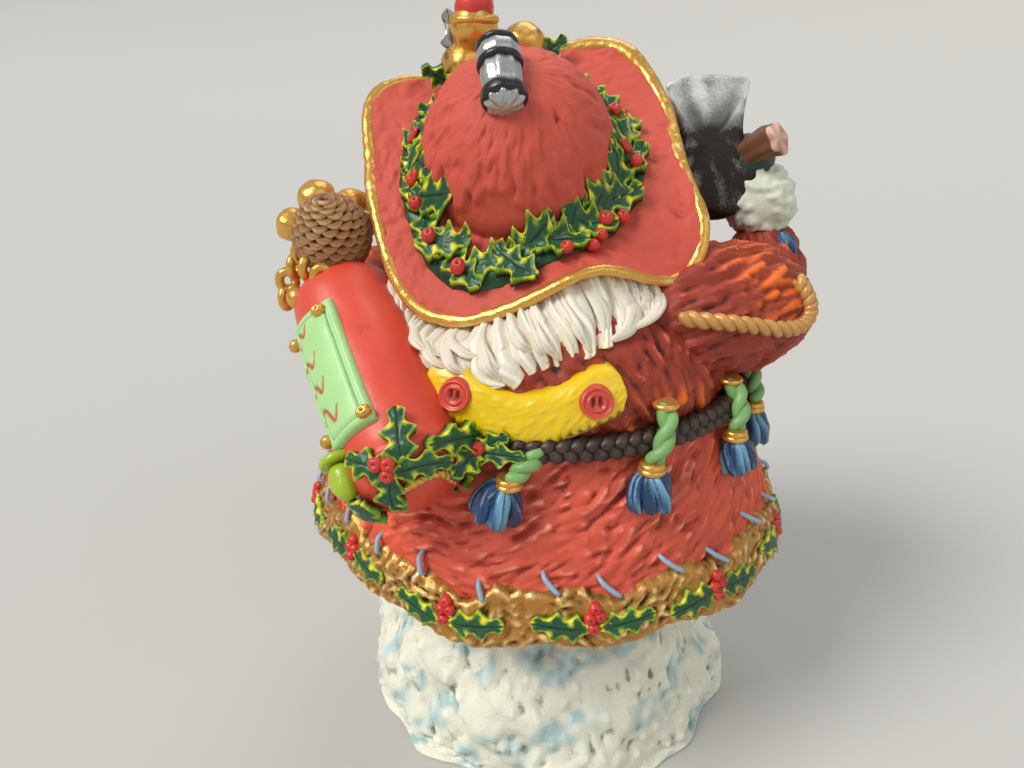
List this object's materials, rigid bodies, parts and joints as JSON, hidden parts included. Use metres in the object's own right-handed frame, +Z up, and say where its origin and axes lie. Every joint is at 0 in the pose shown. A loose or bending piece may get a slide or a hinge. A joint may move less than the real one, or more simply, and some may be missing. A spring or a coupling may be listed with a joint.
{
  "type": "santa figurine",
  "caption": "Painted cast Santa figurine on a snow base: wide garlanded hat, fur-carved coat with tassels, toy tube on the back and an axe over the shoulder.",
  "frame": {"origin": "on the ground, on the flat underside of the snow base, under the middle of the coat", "axes": "+Z up, +Y the way the Santa faces, +X his right-hand side"},
  "size_m": [0.1209, 0.121, 0.1737],
  "materials": {
    "painted_casting": "hand-painted cast polyresin, satin, with gold, green, white and blue painted details"
  },
  "bodies": {
    "root": {"santa_figure": "painted_casting"}
  },
  "joints": []
}
